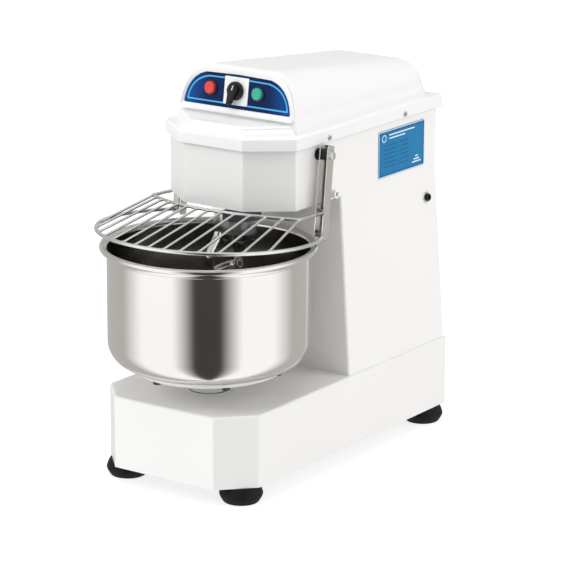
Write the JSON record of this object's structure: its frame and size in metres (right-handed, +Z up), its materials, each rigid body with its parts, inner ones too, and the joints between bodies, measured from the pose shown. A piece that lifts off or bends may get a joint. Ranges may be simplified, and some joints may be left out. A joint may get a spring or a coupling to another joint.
{
  "type": "spiral dough mixer",
  "caption": "Commercial spiral dough mixer: a steel bowl turns under a spiral hook and a lifting wire guard, driven from a head and column on a box base.",
  "frame": {"origin": "on the floor, under the middle of the machine's bounding box", "axes": "+Z up, +Y from the bowl at the front towards the column at the back, +X towards the side that carries the blue label, which is the viewer's right when facing the front"},
  "size_m": [0.457, 0.8395, 0.828],
  "materials": {
    "white_paint": "gloss",
    "white_plastic": "gloss",
    "frame_steel": "satin",
    "zinc_steel": "satin",
    "dark_steel": "oiled",
    "stainless": "polished",
    "cast_iron": "painted",
    "foot_rubber": "matt",
    "belt_rubber": "matt",
    "black_plastic": "satin",
    "button_trim": "satin",
    "red_plastic": "gloss",
    "green_plastic": "gloss",
    "blue_panel": "gloss",
    "blue_label": "satin",
    "motor_aluminium": "cast"
  },
  "bodies": {
    "frame": {"base_casing": "white_paint", "base_floor_plate": "frame_steel", "foot_front_left": "foot_rubber", "foot_front_right": "foot_rubber", "foot_rear_left": "foot_rubber", "foot_rear_right": "foot_rubber", "foot_bolts": "zinc_steel", "column_casing": "white_paint", "column_side_bolts": "black_plastic", "rear_cover": "white_paint", "rear_cover_screws": "zinc_steel", "head_casing": "white_paint", "drive_plate": "frame_steel", "top_cover": "white_plastic", "lid_screws": "zinc_steel", "panel_bezel": "white_plastic", "panel_fascia": "blue_panel", "switch_plate": "white_plastic", "stop_button_ring": "button_trim", "start_button_ring": "button_trim", "contact_blocks": "black_plastic", "side_label": "blue_label", "bearing_stands": "cast_iron", "spindle_housing": "cast_iron", "bearings": "frame_steel", "drive_belts": "belt_rubber", "upper_chain": "dark_steel", "lower_chain": "dark_steel", "motor_body": "motor_aluminium", "electrical_box": "black_plastic", "cable_gland": "black_plastic", "breaker_bar": "stainless", "guard_bushes": "black_plastic", "interlock_switch": "black_plastic", "guard_stop_studs": "dark_steel", "guard_stop_caps": "white_plastic"},
    "bowl": {"bowl": "stainless", "bowl_carrier": "white_paint", "carrier_bolts": "dark_steel", "bowl_shaft": "frame_steel", "bowl_sprocket": "dark_steel"},
    "hook": {"spindle": "frame_steel", "spiral_hook": "stainless", "hook_flange_bolts": "zinc_steel", "spindle_sprocket": "dark_steel", "spindle_pulley": "cast_iron"},
    "layshaft": {"layshaft": "frame_steel", "layshaft_sprockets": "dark_steel"},
    "motor_rotor": {"motor_shaft": "frame_steel", "motor_pulley": "cast_iron"},
    "guard": {"guard_arm_left": "stainless", "guard_arm_right": "stainless", "guard_pivot_pins": "zinc_steel", "interlock_cam": "black_plastic", "guard_ring": "stainless", "guard_rear_rod": "stainless", "guard_bars": "stainless"},
    "stop_button": {"stop_button": "red_plastic"},
    "start_button": {"start_button": "green_plastic"},
    "selector": {"selector_knob": "black_plastic"}
  },
  "joints": [
    {"name": "hook_spin", "type": "hinge", "parent": "frame", "child": "hook", "pos_m": [0, -0.088, 0.5], "axis": [0, 0, 1], "continuous": true},
    {"name": "bowl_spin", "type": "hinge", "parent": "frame", "child": "bowl", "pos_m": [0, -0.192, 0.3], "axis": [0, 0, 1], "continuous": true},
    {"name": "layshaft_spin", "type": "hinge", "parent": "frame", "child": "layshaft", "pos_m": [0, 0.095, 0.3], "axis": [0, 0, 1], "continuous": true},
    {"name": "motor_spin", "type": "hinge", "parent": "frame", "child": "motor_rotor", "pos_m": [0, 0.27, 0.6], "axis": [0, 0, 1], "continuous": true},
    {"name": "guard_lift", "type": "hinge", "parent": "frame", "child": "guard", "pos_m": [0, -0.036, 0.664], "axis": [-1, 0, 0], "range_deg": [0, 80]},
    {"name": "stop_button_press", "type": "slide", "parent": "frame", "child": "stop_button", "axis": [0, 0.9888, -0.1495], "range_m": [0, 0.004], "stiffness_N_per_m": 800},
    {"name": "start_button_press", "type": "slide", "parent": "frame", "child": "start_button", "axis": [0, 0.9888, -0.1495], "range_m": [0, 0.004], "stiffness_N_per_m": 800},
    {"name": "selector_turn", "type": "hinge", "parent": "frame", "child": "selector", "pos_m": [-0.004, -0.0891, 0.781], "axis": [0, -0.9888, 0.1495], "range_deg": [-90, 0]}
  ],
  "couplings": [
    {"joint": "bowl_spin", "follows": "hook_spin", "ratio": 0.074074},
    {"joint": "layshaft_spin", "follows": "hook_spin", "ratio": 0.33333},
    {"joint": "motor_spin", "follows": "hook_spin", "ratio": 3}
  ]
}
